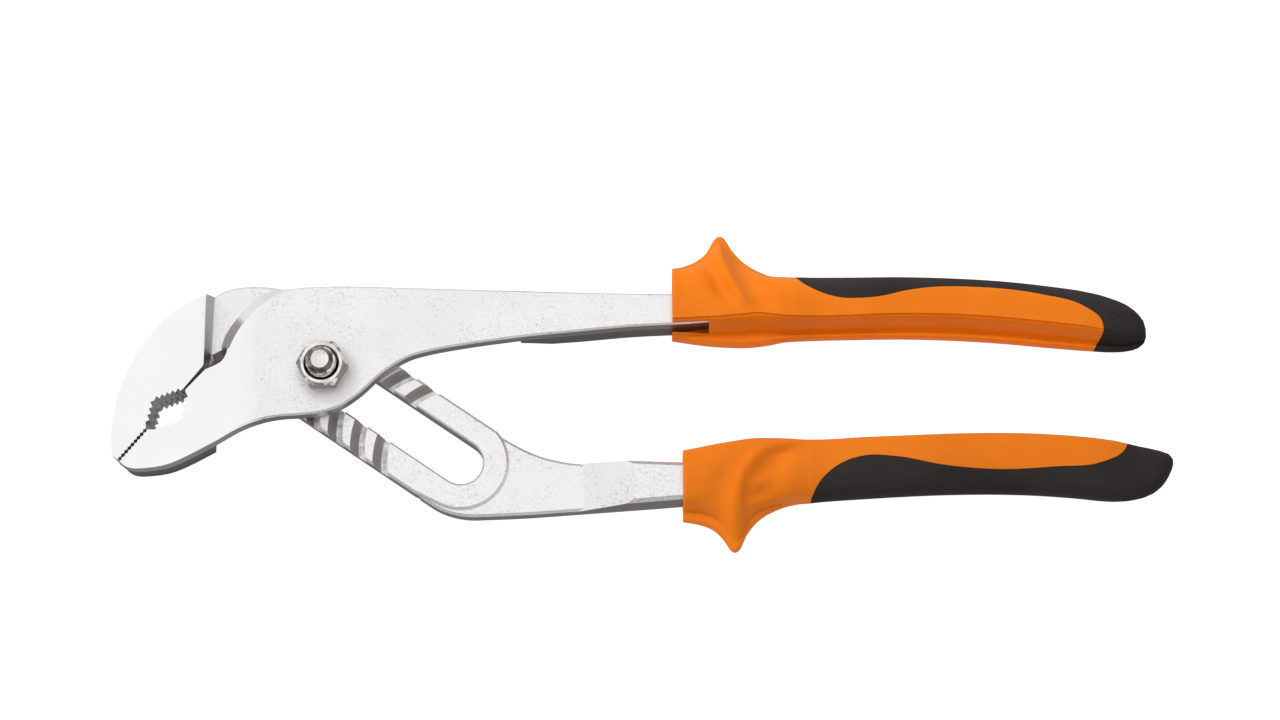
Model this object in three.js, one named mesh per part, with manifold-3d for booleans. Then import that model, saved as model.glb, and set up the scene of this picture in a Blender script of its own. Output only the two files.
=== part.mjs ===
// Tongue and groove pliers, 250 mm nominal length, with moulded two-colour grips.
// Millimetres, +Z up. The tool lies flat: the pivot bolt's axis is Z, its head is on the plane z = 0,
// the jaws point to -X and the handles to +X. The jaws are closed and the bolt is in the first groove.
import * as THREE from 'three';
import Module from 'manifold-3d';
import { mergeVertices } from 'three/addons/utils/BufferGeometryUtils.js';

const wasm = await Module();
wasm.setup();

// ---------------------------------------------------------------- driving dimensions
const GAP = 0.3; // clearance kept between any two pieces
const BOLT_HEAD_HEIGHT = 2.2;
const BOLT_HEAD_RADIUS = 7.6;
const REAR_Z = BOLT_HEAD_HEIGHT + GAP; // rear face of the grooved arm
const RAIL_TOP = REAR_Z + 6.4; // top of the lands between the grooves
const GROOVE_DEPTH = 2.8;
const PLATE_REAR = RAIL_TOP + GAP; // rear face of the tongue arm's plate
const FRONT_Z = PLATE_REAR + 4.7; // front face of both jaws
const NECK_TOP = RAIL_TOP - 0.8;
const HANDLE_MID_Z = (REAR_Z + FRONT_Z) / 2;

const SLOT_ANGLE = THREE.MathUtils.degToRad(-34); // slot direction, seen from the nut side
const SLOT_HALF_WIDTH = 5.15;
const SLOT_CHAMFER = 0.4;
const GROOVE_COUNT = 7;
const GROOVE_PITCH = 6.4;
const SLOT_TRAVEL = GROOVE_PITCH * (GROOVE_COUNT - 1);
const LOAD_WALL_RADIUS = 16.9; // each groove's load wall is an arc about the bolt's place in it
const GROOVE_FLOOR_WIDTH = 1.7;
const GROOVE_SLOPE_WIDTH = 1.8;
const RAIL_EDGE_HIGH = 10.8; // bar edges, measured across the slot's centre line
const RAIL_EDGE_LOW = -12;
const BOSS_RADIUS = 11.2;
const EDGE_BEVEL = 0.45; // front edges of the tongue arm
const FORGED_BEVEL = 0.6; // edges of the grooved bar and its neck
const JAW_REAR_BEVEL = 0.9;
const TANG_BEVEL = 0.9;
const OVERSHOOT = 4; // how far cutters reach past the faces they cut
const TURNED_STEPS = 96;

const SHANK_RADIUS = 3.5;
const SHOULDER_RADIUS = SLOT_HALF_WIDTH - GAP;
const NUT_ACROSS_FLATS = 10.5;
const NUT_HEIGHT = 4.2;
const NUT_CHAMFER = 0.6;
const BOLT_END_Z = FRONT_Z + GAP + NUT_HEIGHT + 3.8;
const BOLT_END_CHAMFER = 1.3;

const GRIP_HALF_THICKNESS = 7.6;
const UPPER_GRIP_START = 81.4;
const UPPER_GRIP_END = 193;
const LOWER_GRIP_START = 83.8;
const LOWER_GRIP_END = 198.2;

// ---------------------------------------------------------------- materials
const steel = new THREE.MeshStandardMaterial({ color: 0xd4d4d8, metalness: 0.9, roughness: 0.38 });
const brightSteel = new THREE.MeshStandardMaterial({ color: 0xc4c4ca, metalness: 1, roughness: 0.22 });
const orange = new THREE.MeshStandardMaterial({ color: 0xec7a1e, metalness: 0, roughness: 0.45 });
const black = new THREE.MeshStandardMaterial({ color: 0x2b2926, metalness: 0, roughness: 0.7 });

// ---------------------------------------------------------------- solids and outlines
function solid(geometry) {
  const clean = geometry.clone();
  clean.deleteAttribute('normal');
  clean.deleteAttribute('uv');
  const merged = mergeVertices(clean, 1e-4);
  return new wasm.Manifold(new wasm.Mesh({
    numProp: 3,
    vertProperties: new Float32Array(merged.attributes.position.array),
    triVerts: new Uint32Array(merged.index.array),
  }));
}

function namedMesh(name, body, material) {
  const result = body.getMesh();
  const geometry = new THREE.BufferGeometry();
  geometry.setAttribute('position', new THREE.BufferAttribute(result.vertProperties, 3));
  geometry.setIndex(new THREE.BufferAttribute(result.triVerts, 1));
  geometry.computeVertexNormals();
  const mesh = new THREE.Mesh(geometry, material);
  mesh.name = name;
  return mesh;
}

const point = ([x, y]) => new THREE.Vector2(x, y);

// A smooth run of points through the given ones.
function smooth(points, stepsPerSpan = 4) {
  const curve = new THREE.SplineCurve(points.map(point));
  return curve.getPoints((points.length - 1) * stepsPerSpan).map((p) => [p.x, p.y]);
}

function arc(centre, radius, fromDegrees, toDegrees, steps) {
  return Array.from({ length: steps + 1 }, (_, i) => {
    const angle = THREE.MathUtils.degToRad(fromDegrees + ((toDegrees - fromDegrees) * i) / steps);
    return [centre[0] + radius * Math.cos(angle), centre[1] + radius * Math.sin(angle)];
  });
}

// An upright prism between two heights, with an optional 45 degree bevel inside its outline.
function prism(outline, low, high, bevel = 0) {
  const shape = new THREE.Shape(outline.map(point));
  const geometry = new THREE.ExtrudeGeometry(shape, {
    depth: high - low - 2 * bevel,
    bevelEnabled: bevel > 0,
    bevelThickness: bevel,
    bevelSize: bevel,
    bevelOffset: -bevel,
    bevelSegments: 1,
  });
  geometry.translate(0, 0, low + bevel);
  return solid(geometry);
}

// A prism whose outline is drawn in X and Z, running along Y.
function sideCutter(outlineXZ, yLow, yHigh) {
  const shape = new THREE.Shape(outlineXZ.map(([x, z]) => new THREE.Vector2(x, z)));
  const geometry = new THREE.ExtrudeGeometry(shape, { depth: yHigh - yLow, bevelEnabled: false });
  geometry.rotateX(Math.PI / 2);
  geometry.translate(0, yHigh, 0);
  return solid(geometry);
}

function turned(profile, segments) {
  const geometry = new THREE.LatheGeometry(profile.map(point), segments);
  geometry.rotateX(Math.PI / 2);
  return solid(geometry);
}

// Place along the slot and across it, as X and Y.
function onSlot(along, across) {
  const c = Math.cos(SLOT_ANGLE);
  const s = Math.sin(SLOT_ANGLE);
  return [along * c - across * s, along * s + across * c];
}

// ---------------------------------------------------------------- mouth of the jaws
// Saw teeth cut into the material on the left of the run from start to end.
function teeth(start, end, count, depth, lean) {
  const [dx, dy] = [(end[0] - start[0]) / count, (end[1] - start[1]) / count];
  const pitch = Math.hypot(dx, dy);
  const [nx, ny] = [(-dy / pitch) * depth, (dx / pitch) * depth];
  return Array.from({ length: count }, (_, i) => [
    [start[0] + dx * i, start[1] + dy * i],
    [start[0] + dx * (i + lean) + nx, start[1] + dy * (i + lean) + ny],
  ]).flat();
}

const JAW_TIP = [-46.8, -22.2];
const BITE_START = [-40.65, -14.8]; // where the pipe grip ends and the fine teeth start
const BITE_HALF_GAP = 0.16;
const PIPE_TOOTH_DEPTH = 0.8;
const FINE_TOOTH_DEPTH = 0.34;
const FINE_TEETH = 9;

function biteOffset(place, side) {
  const direction = point(JAW_TIP).sub(point(BITE_START)).normalize();
  return [place[0] - direction.y * side * BITE_HALF_GAP, place[1] + direction.x * side * BITE_HALF_GAP];
}

// Upper jaw's mouth, from the closing line's root to the tip. Material is on its right.
function upperMouth() {
  const fineStart = biteOffset(BITE_START, -1);
  const fineEnd = biteOffset(JAW_TIP, -1);
  return [
    [-28.2, 0.1],
    [-32.3, -5],
    ...teeth([-33, -5.7], [-39.1, -8], 5, -PIPE_TOOTH_DEPTH, 0.35),
    ...teeth([-39.1, -8], [-40.3, -14.2], 4, -PIPE_TOOTH_DEPTH, 0.35),
    ...teeth(fineStart, fineEnd, FINE_TEETH, -FINE_TOOTH_DEPTH, 0.5),
    fineEnd,
  ];
}

// Lower jaw's mouth, in the same direction. Material is on its left.
function lowerMouth() {
  const fineStart = biteOffset(BITE_START, 1);
  const fineEnd = biteOffset(JAW_TIP, 1);
  return [
    [-27.5, -0.6],
    [-31.9, -5.4],
    ...teeth([-31.9, -6], [-33, -12.6], 4, PIPE_TOOTH_DEPTH, 0.6),
    ...teeth([-33, -12.6], [-39.4, -14.3], 4, PIPE_TOOTH_DEPTH, 0.6),
    ...teeth(fineStart, fineEnd, FINE_TEETH, FINE_TOOTH_DEPTH, 0.5),
    fineEnd,
  ];
}

// ---------------------------------------------------------------- grooved arm
const upperJawBack = smooth([
  [-48.5, -20.8], [-48.9, -16], [-47.3, -5.6], [-43.2, 3.9], [-36.1, 12.7], [-28.6, 17.4],
], 7);

function upperJaw() {
  const outline = [...upperMouth(), ...upperJawBack, [-26.6, 18.1], [-26.9, 3.2]];
  const stepWall = sideCutter([
    [-26.6, RAIL_TOP],
    [-20, RAIL_TOP],
    [-20, FRONT_Z + 1],
    [-28.2, FRONT_Z + 1],
    [-27.9, FRONT_Z],
  ], -3, 25);
  return prism(outline, REAR_Z, FRONT_Z).subtract(stepWall);
}

function groovedBar() {
  const boss = [SLOT_TRAVEL + GAP, 0];
  const leaves = THREE.MathUtils.radToDeg(Math.asin(RAIL_EDGE_HIGH / BOSS_RADIUS));
  const bossArc = arc([0, 0], BOSS_RADIUS, leaves, -84, 24);
  const outline = [
    ...smooth([
      [-31, 14.5], [-26.6, 18.4], [-23, 20.1], [-18.5, 20.8], [-14.5, 20.7],
      onSlot(-20, RAIL_EDGE_HIGH),
    ]),
    ...bossArc.map(([x, y]) => onSlot(boss[0] + x, y)),
    onSlot(boss[0] - 5, RAIL_EDGE_LOW),
    onSlot(-23.4, RAIL_EDGE_LOW),
    [-27.6, 1.3],
    [-31, 4],
  ];
  return prism(outline, REAR_Z, RAIL_TOP, FORGED_BEVEL);
}

function neck() {
  const outline = [
    [34, -16],
    ...smooth([
      [39.5, -14.3], [46, -18], [50.6, -20], [55.3, -21.2], [60, -21.8], [72, -22.1], [86, -22.6],
    ]),
    ...smooth([
      [86, -31], [73.8, -32], [57.5, -33.2], [48, -33.9], [38.8, -34.3], [33, -34.3], [27.5, -32.8],
      [22.4, -29.6],
    ]),
  ];
  return prism(outline, REAR_Z, NECK_TOP, FORGED_BEVEL);
}

// The handle's tang: as thick as the jaws, with a ramp up from the neck.
function lowerTang() {
  const outline = [
    ...smooth([[58, -21.7], [72, -22.1], [86, -22.6]], 3),
    ...lowerTangEnd(0),
    ...smooth([[86, -31], [73.8, -32], [58, -33.2]], 3),
  ];
  const foot = NECK_TOP - TANG_BEVEL;
  const clear = FRONT_Z + OVERSHOOT;
  const ramp = sideCutter([[50, foot], [59, foot], [72.5, FRONT_Z], [72.5, clear], [50, clear]], -50, 0);
  return prism(outline, REAR_Z, FRONT_Z, TANG_BEVEL).subtract(ramp);
}

// The hidden part of each tang, drawn from its inner edge round its end, grown by a margin.
function lowerTangEnd(margin) {
  return [
    [112, -20.6 + margin],
    [166 + margin, -19.6 + margin],
    [166 + margin, -24.6 - margin],
    [112, -26.6 - margin],
  ];
}

function upperTangEnd(margin) {
  return [
    [112, 12.6 - margin],
    [162 + margin, 12.9 - margin],
    [162 + margin, 17.6 + margin],
    [112, 18.4 + margin],
  ];
}

// One groove: a ring about the bolt's place, cut off to the jaw side of the bolt.
function grooveRing(index) {
  const floor = RAIL_TOP - GROOVE_DEPTH;
  const outer = LOAD_WALL_RADIUS + GROOVE_FLOOR_WIDTH;
  const past = 1.3; // the slope carries on above the lands by this share
  const top = floor + GROOVE_DEPTH * past;
  const ring = turned([
    [LOAD_WALL_RADIUS, floor],
    [outer, floor],
    [outer + GROOVE_SLOPE_WIDTH * past, top],
    [LOAD_WALL_RADIUS, top],
    [LOAD_WALL_RADIUS, floor],
  ], TURNED_STEPS);
  const reach = 30;
  const jawSide = [onSlot(0, -reach), onSlot(0, reach), onSlot(-reach, reach), onSlot(-reach, -reach)];
  const side = prism(jawSide, floor - 1, RAIL_TOP + OVERSHOOT);
  const [x, y] = onSlot(index * GROOVE_PITCH, 0);
  return ring.intersect(side).translate([x, y, 0]);
}

function slotOutline(halfWidth) {
  return [
    ...arc([0, 0], halfWidth, 90, 270, 16).map(([x, y]) => onSlot(x - GAP, y)),
    ...arc([0, 0], halfWidth, -90, 90, 16).map(([x, y]) => onSlot(SLOT_TRAVEL + GAP + x, y)),
  ];
}

function slot() {
  const top = RAIL_TOP + OVERSHOOT;
  const widened = slotOutline(SLOT_HALF_WIDTH + SLOT_CHAMFER);
  const chamfer = prism(widened, RAIL_TOP - SLOT_CHAMFER, top, SLOT_CHAMFER);
  return prism(slotOutline(SLOT_HALF_WIDTH), 0, top).add(chamfer);
}

// A sloping recess at the root of the upper jaw, which clears the lower jaw's heel.
function heelRecess() {
  const length = 6;
  const run = 2.4; // width of the slope
  const depth = 4.6;
  const direction = THREE.MathUtils.degToRad(-61);
  const section = [[0, 1], [0, 0], [run, -depth], [length, -depth], [length, 1]];
  const shape = new THREE.Shape(section.map(point));
  const geometry = new THREE.ExtrudeGeometry(shape, { depth: length, bevelEnabled: false });
  geometry.rotateX(Math.PI / 2);
  geometry.rotateZ(direction);
  geometry.translate(-21.6, 6.9, RAIL_TOP);
  return solid(geometry);
}

function groovedArm() {
  let arm = groovedBar().add(neck()).add(lowerTang()).subtract(heelRecess()).add(upperJaw());
  for (let index = 0; index < GROOVE_COUNT; index += 1) arm = arm.subtract(grooveRing(index));
  return arm.subtract(slot());
}

// ---------------------------------------------------------------- tongue arm
// The underside runs in one sweep from the lower jaw's tip to the grip.
const armUnderside = smooth([
  JAW_TIP, [-44.9, -23.7], [-41.7, -24.1], [-34.8, -22.9], [-25.7, -18.3], [-19.4, -14.6],
  [-14.3, -12.6], [-9.7, -11.7], [-5.1, -11.4], [-0.4, -10.8], [4.2, -9.3], [8.9, -6], [13.3, -1.8],
  [17.9, 1.4], [22.5, 3.3], [31.8, 5.2], [45.8, 7.2], [60, 8.7], [72, 9.8], [84, 10.4],
]);
const armTop = smooth([
  [84, 17.6], [64, 17.9], [36, 18.7], [8.2, 19.5], [0, 19.5], [-4, 19.35], [-7.5, 19], [-10.5, 18.8],
  [-13, 18.6], [-15.2, 17.9], [-17.9, 16.1], [-20.2, 14], [-22, 11.5], [-23.8, 7.2], [-24.3, 5.2],
]);
const behindMouth = [[-22.5, 4.6], [-30, 4], [-50, -20]];
const RAMP_START = 43; // where the tang starts to thicken towards the rear

function plate() {
  const outline = [...armUnderside, ...upperTangEnd(0), ...armTop, ...behindMouth];
  return prism(outline, PLATE_REAR, FRONT_Z, EDGE_BEVEL);
}

// The jaw's ground front face has crisp edges, which run out into the plate's bevel.
function lowerJawFront() {
  const lastPlace = -12;
  const runOut = [[-14.3, -12.4], [-16.5, -13], [-20, -14.4], [-20, 0]];
  const outline = [...armUnderside.filter(([x]) => x < lastPlace), ...runOut, ...behindMouth];
  return prism(outline, PLATE_REAR + EDGE_BEVEL, FRONT_Z);
}

// The jaw is as thick as both arms together, and ends at its heel.
function lowerJawRear() {
  const heel = -25;
  const setback = 0.6; // its rear face is this much in front of the upper jaw's
  const outline = [...armUnderside.filter(([x]) => x < heel), [heel, 0.7], ...behindMouth.slice(1)];
  const body = prism(outline, REAR_Z + setback, FRONT_Z + JAW_REAR_BEVEL, JAW_REAR_BEVEL);
  const around = [[-60, -40], [0, -40], [0, 10], [-60, 10]];
  return body.subtract(prism(around, FRONT_Z, FRONT_Z + OVERSHOOT));
}

// Everything on the upper jaw's side of the mouth, and the curve from the closing line to the plate.
function mouthCutter() {
  const corner = smooth([[-22.4, 4.7], [-22.8, 3], [-23.7, 1.5], [-25.1, 0.5], [-27.5, -0.6]]);
  const outline = [...corner, ...lowerMouth().slice(1), [-52, -22], [-52, 4.7]];
  return prism(outline, 0, FRONT_Z + OVERSHOOT);
}

// The sloped band round the plate's jaw side. Its cone's axis is a little below the pivot,
// so that the band narrows to nothing at the top.
function flangeBevel() {
  const radius = 23.3;
  const width = 2.7;
  const foot = FRONT_Z - 2.9;
  const beyond = 36;
  const above = FRONT_Z + 1;
  const axisY = -3;
  const cone = turned([
    [radius, FRONT_Z],
    [radius + width, foot],
    [beyond, foot],
    [beyond, above],
    [radius, above],
    [radius, FRONT_Z],
  ], TURNED_STEPS).translate([0, axisY, 0]);
  const around = [[0, 0], ...arc([0, 0], beyond + OVERSHOOT, 104, 168.2, 4)];
  const sector = prism(around, PLATE_REAR - 1, above + 1);
  return cone.intersect(sector);
}

// The tongue: an arc about the pivot which sits in one groove.
function tongue() {
  const tip = RAIL_TOP - GROOVE_DEPTH + GAP;
  const inner = LOAD_WALL_RADIUS + GAP;
  const slope = GROOVE_SLOPE_WIDTH / GROOVE_DEPTH;
  const outer = LOAD_WALL_RADIUS + GROOVE_FLOOR_WIDTH - GAP;
  const root = PLATE_REAR + 0.5; // inside the plate
  const ring = turned([
    [inner, tip],
    [outer, tip],
    [outer + slope * (root - tip), root],
    [inner, root],
    [inner, tip],
  ], TURNED_STEPS);
  const sector = prism([[0, 0], ...arc([0, 0], 30, 112, 180, 6)], 0, FRONT_Z);
  return ring.intersect(sector);
}

// Behind the plate the handle's tang thickens, on a ramp, until it is as thick as the jaws.
function upperTang() {
  const run = ([x]) => x > RAMP_START;
  const outline = [...armUnderside.filter(run), ...upperTangEnd(0), ...armTop.filter(run)];
  const ramp = sideCutter([
    [40, 0],
    [64, 0],
    [64, REAR_Z],
    [53, REAR_Z + 1.2],
    [RAMP_START + 0.5, PLATE_REAR],
    [40, PLATE_REAR],
  ], 0, 30);
  return prism(outline, REAR_Z, FRONT_Z, EDGE_BEVEL).subtract(ramp);
}

function boltHole() {
  return prism(arc([0, 0], SHANK_RADIUS + GAP, 0, 345, 23), 0, BOLT_END_Z);
}

function tongueArm() {
  const jaw = lowerJawFront().add(lowerJawRear());
  const front = plate().add(jaw).subtract(mouthCutter()).subtract(flangeBevel());
  return front.add(upperTang()).add(tongue()).subtract(boltHole());
}

// ---------------------------------------------------------------- pivot bolt and nut
function pivotBolt() {
  return turned([
    [0, 0], [BOLT_HEAD_RADIUS - 1, 0], [BOLT_HEAD_RADIUS, 1], [BOLT_HEAD_RADIUS, BOLT_HEAD_HEIGHT],
    [SHOULDER_RADIUS, BOLT_HEAD_HEIGHT], [SHOULDER_RADIUS, RAIL_TOP], [SHANK_RADIUS, RAIL_TOP],
    [SHANK_RADIUS, BOLT_END_Z - BOLT_END_CHAMFER], [2.1, BOLT_END_Z], [0, BOLT_END_Z],
  ], 40);
}

function hexNut() {
  const low = FRONT_Z + GAP;
  const cornerRadius = NUT_ACROSS_FLATS / Math.sqrt(3);
  const hexagon = prism(arc([0, 0], cornerRadius, 0, 300, 5), low, low + NUT_HEIGHT);
  const high = low + NUT_HEIGHT;
  const faceRadius = cornerRadius - NUT_CHAMFER;
  const rounding = turned([
    [0, low],
    [faceRadius, low],
    [cornerRadius, low + NUT_CHAMFER],
    [cornerRadius, high - NUT_CHAMFER],
    [faceRadius, high],
    [0, high],
  ], TURNED_STEPS / 2);
  return hexagon.intersect(rounding).subtract(boltHole());
}

// ---------------------------------------------------------------- grips
// Each grip is a loft of cross sections along X. "outer" is the edge away from the other handle,
// "inner" the edge towards it, and "ridge" where the front face turns into the hollowed inner side.
const upperGrip = {
  start: UPPER_GRIP_START,
  end: UPPER_GRIP_END,
  side: 1,
  outer: [[81.4, 25.1], [85.7, 26.2], [88.1, 27.7], [90.2, 30.2], [92.2, 32.9], [93.4, 32.8], [95.2, 30.2],
    [97.5, 27.6], [99.9, 25.6], [103.5, 23.9], [108, 22.9], [123.6, 22.8], [135.4, 22.9], [147.2, 22.5],
    [162.8, 21.4], [178.4, 19.5], [186.4, 17.4], [190.1, 15.3], [192.2, 12.8], [193, 10]],
  ridge: [[81.4, 11.4], [101.9, 12.6], [108, 12], [134.6, 12.6], [150.1, 12.3], [165.7, 11], [181.7, 9.6],
    [193, 9.4]],
  inner: [[81.4, 7.9], [88, 6.9], [98.6, 6.3], [105.6, 7.1], [116.2, 7.9], [135.1, 8.2], [150.6, 7.7],
    [166.4, 6.4], [180, 5.2], [185.9, 4.9], [189.7, 5.4], [192, 6.6], [193, 9]],
  bodyEdge: 25.6,
  seam: [[109, 24.5], [111.3, 20.8], [115.8, 17.9], [121.1, 16.3], [125.1, 16.2], [130.3, 16.7],
    [135.9, 18.1], [142.5, 19.1], [152.3, 19.2], [167.8, 17.4], [177.3, 14.7], [181.8, 11], [182.2, 9],
    [180.7, 5.6], [179, 2]],
  beyondSeam: [[170, -5], [210, -5], [210, 45]],
};
const lowerGrip = {
  start: LOWER_GRIP_START,
  end: LOWER_GRIP_END,
  side: -1,
  outer: [[83.8, -35.7], [87.8, -36.3], [90.1, -37], [92.4, -38.7], [94.4, -41.6], [95.8, -42.9],
    [96.8, -42.6], [99.3, -37.7], [101.7, -35.1], [104, -33.5], [108.7, -31.7], [127.3, -30.1],
    [147.1, -29.2], [164.6, -29.3], [177.3, -30.2], [185, -30.8], [192.5, -29.2], [196, -26],
    [197.6, -23.4], [198.2, -21.4]],
  ridge: [[83.8, -22.4], [104, -20.4], [132.7, -19.8], [160, -19.2], [185, -20.5], [198.2, -21.2]],
  inner: [[83.8, -19], [90.2, -17.8], [101.9, -16.2], [111.9, -16.5], [117.3, -16.4], [132.7, -15.7],
    [156, -14.9], [167.1, -15.1], [179.9, -16.2], [192.9, -18.4], [196.6, -19.6], [198.2, -21]],
  bodyEdge: -36.2,
  seam: [[112.6, -34], [113, -32.3], [115.6, -26.9], [120.5, -23], [126, -21.3], [132.8, -21.5],
    [144.5, -23.5], [157.4, -24.4], [170.1, -23.8], [180.1, -22.9], [185.3, -20.5], [188.5, -14]],
  beyondSeam: [[210, -14], [210, -60]],
};

// Height of a smooth line through the points, at a place along X.
function heightAt(points, x) {
  let span = 0;
  while (span < points.length - 2 && points[span + 1][0] < x) span += 1;
  const slopeAt = (i) => {
    const before = points[Math.max(i - 1, 0)];
    const after = points[Math.min(i + 1, points.length - 1)];
    return (after[1] - before[1]) / (after[0] - before[0]);
  };
  const [x0, y0] = points[span];
  const [x1, y1] = points[span + 1];
  const t = THREE.MathUtils.clamp((x - x0) / (x1 - x0), 0, 1);
  const width = x1 - x0;
  const a = slopeAt(span) * width;
  const b = slopeAt(span + 1) * width;
  return y0 + t * (a + t * (3 * (y1 - y0) - 2 * a - b + t * (a + b - 2 * (y1 - y0))));
}

const NOSE_LENGTH = 13; // the grip's rounded end
const BODY_SQUARENESS = 2.8;
const HORN_THICKNESS = 0.4; // share of the grip's

// Half of one cross section, from the outer edge to the inner edge, as [y, half thickness].
function gripProfile(grip, x) {
  const outer = heightAt(grip.outer, x);
  const ridge = heightAt(grip.ridge, x);
  const inner = heightAt(grip.inner, x);
  const toEnd = THREE.MathUtils.clamp((x - (grip.end - NOSE_LENGTH)) / NOSE_LENGTH, 0, 1);
  const half = GRIP_HALF_THICKNESS * Math.sqrt(1 - 0.86 * toEnd ** 2.4);
  const body = grip.side * Math.min(grip.side * outer, grip.side * grip.bodyEdge);
  const boxy = 1 - THREE.MathUtils.smoothstep(x, grip.start + 8, grip.start + 30);
  const upper = [1, 0.985, 0.94, 0.86, 0.75, 0.6, 0.42, 0.22, 0].map((share) => {
    const y = ridge + (outer - ridge) * share;
    const inBody = Math.min(1, (y - ridge) / (body - ridge));
    const bodyHalf = half * (1 - inBody ** BODY_SQUARENESS) ** (1 / BODY_SQUARENESS);
    const hornHalf = HORN_THICKNESS * half * (1 - share ** 6) ** 0.5;
    return [y, Math.max(bodyHalf, hornHalf)];
  });
  const hollow = [[0.14, 0.86], [0.42, 0.62], [0.75, 0.48], [0.95, 0.3]];
  const square = [[0.14, 1], [0.42, 0.99], [0.8, 0.96], [0.97, 0.8]];
  const lower = hollow.map(([share, width], i) => [
    ridge + (inner - ridge) * THREE.MathUtils.lerp(share, square[i][0], boxy),
    half * THREE.MathUtils.lerp(width, square[i][1], boxy),
  ]);
  return [...upper, ...lower, [inner, 0]];
}

function gripLoft(grip) {
  const stations = [];
  const bodySteps = 36;
  const noseSteps = 10;
  const noseStart = grip.end - NOSE_LENGTH + 1;
  for (let i = 0; i < bodySteps; i += 1) {
    stations.push(grip.start + ((noseStart - grip.start) * i) / bodySteps);
  }
  for (let i = 0; i <= noseSteps; i += 1) {
    stations.push(noseStart + (grip.end - 0.02 - noseStart) * Math.sin((Math.PI / 2) * (i / noseSteps)));
  }
  const rings = stations.map((x) => {
    const half = gripProfile(grip, x);
    const front = half.map(([y, z]) => [x, y, HANDLE_MID_Z + z]);
    const rear = half.slice(1, -1).reverse().map(([y, z]) => [x, y, HANDLE_MID_Z - z]);
    return [...front, ...rear];
  });
  return loft(rings, grip.side > 0);
}

// Joins rings of equal length into a closed solid, with a flat fan at each end.
function loft(rings, flip) {
  const count = rings[0].length;
  const positions = rings.flat(2);
  const triangles = [];
  const face = (a, b, c) => triangles.push(...(flip ? [a, c, b] : [a, b, c]));
  for (let r = 0; r < rings.length - 1; r += 1) {
    for (let k = 0; k < count; k += 1) {
      const next = (k + 1) % count;
      face(r * count + k, (r + 1) * count + k, (r + 1) * count + next);
      face(r * count + k, (r + 1) * count + next, r * count + next);
    }
  }
  [[0, true], [rings.length - 1, false]].forEach(([r, atStart]) => {
    const ring = rings[r];
    const centre = ring.reduce((sum, p) => sum.map((v, i) => v + p[i] / count), [0, 0, 0]);
    const hub = positions.length / 3;
    positions.push(...centre);
    for (let k = 0; k < count; k += 1) {
      const next = (k + 1) % count;
      if (atStart) face(r * count + k, r * count + next, hub);
      else face(r * count + next, r * count + k, hub);
    }
  });
  const geometry = new THREE.BufferGeometry();
  geometry.setAttribute('position', new THREE.Float32BufferAttribute(positions, 3));
  geometry.setIndex(triangles);
  return solid(geometry);
}

// The region of the black inlay: everything beyond the seam, on the outer side and round the end.
function inlayRegion(grip, shift) {
  const seam = smooth(grip.seam).map(([x, y]) => [x + shift, y + shift * grip.side]);
  const outline = [...seam, ...grip.beyondSeam, [grip.seam[0][0] + shift, grip.beyondSeam.at(-1)[1]]];
  return prism(outline, -OVERSHOOT, BOLT_END_Z);
}

function tangPocket(outline) {
  return prism(outline, REAR_Z - GAP, FRONT_Z + GAP);
}

function gripPieces(grip, pocket, prefix) {
  const body = gripLoft(grip).subtract(pocket);
  return [
    namedMesh(`${prefix}_grip_sleeve`, body.subtract(inlayRegion(grip, 0)), orange),
    namedMesh(`${prefix}_grip_inlay`, body.intersect(inlayRegion(grip, GAP)), black),
  ];
}

const upperPocket = tangPocket([
  [72, 9.8 - GAP], [84, 10.4 - GAP], ...upperTangEnd(GAP), [84, 17.6 + GAP], [70, 18 + GAP],
]);
const lowerPocket = tangPocket([
  [70, -21.9 + GAP], [86, -22.6 + GAP], ...lowerTangEnd(GAP), [86, -31 - GAP], [70, -32.6 - GAP],
]);

// ---------------------------------------------------------------- assembly
const groovedSide = new THREE.Group();
groovedSide.add(namedMesh('grooved_arm', groovedArm(), steel));
groovedSide.add(...gripPieces(lowerGrip, lowerPocket, 'lower'));

const tongueSide = new THREE.Group();
tongueSide.add(namedMesh('tongue_arm', tongueArm(), steel));
tongueSide.add(...gripPieces(upperGrip, upperPocket, 'upper'));

const pivot = new THREE.Group();
pivot.add(namedMesh('pivot_bolt', pivotBolt(), brightSteel));
pivot.add(namedMesh('hex_nut', hexNut(), brightSteel));

const pliers = new THREE.Group();
pliers.add(groovedSide, tongueSide, pivot);

export default pliers;
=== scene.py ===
"""Looks for the tongue and groove pliers: steel arms, threaded bolt, nut and two-colour grips."""

import math

import bmesh
import bpy
import numpy as np
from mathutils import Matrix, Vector


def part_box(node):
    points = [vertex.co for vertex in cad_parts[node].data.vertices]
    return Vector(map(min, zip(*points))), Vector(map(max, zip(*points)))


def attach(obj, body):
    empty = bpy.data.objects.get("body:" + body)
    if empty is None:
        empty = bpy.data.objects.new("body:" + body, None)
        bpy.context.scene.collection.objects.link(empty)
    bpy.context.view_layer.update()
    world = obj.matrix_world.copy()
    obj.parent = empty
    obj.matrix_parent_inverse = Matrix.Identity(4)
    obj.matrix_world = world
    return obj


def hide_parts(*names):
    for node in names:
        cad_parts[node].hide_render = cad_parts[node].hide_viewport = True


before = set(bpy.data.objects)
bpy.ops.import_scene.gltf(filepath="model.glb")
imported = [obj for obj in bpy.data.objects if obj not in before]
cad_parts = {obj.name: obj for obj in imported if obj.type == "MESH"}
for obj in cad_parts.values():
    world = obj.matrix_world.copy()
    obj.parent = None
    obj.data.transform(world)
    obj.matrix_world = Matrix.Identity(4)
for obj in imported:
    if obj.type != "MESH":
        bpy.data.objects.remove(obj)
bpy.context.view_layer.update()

MM = 0.001  # the shapes below are written in millimetres, in the CAD's own frame

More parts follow.
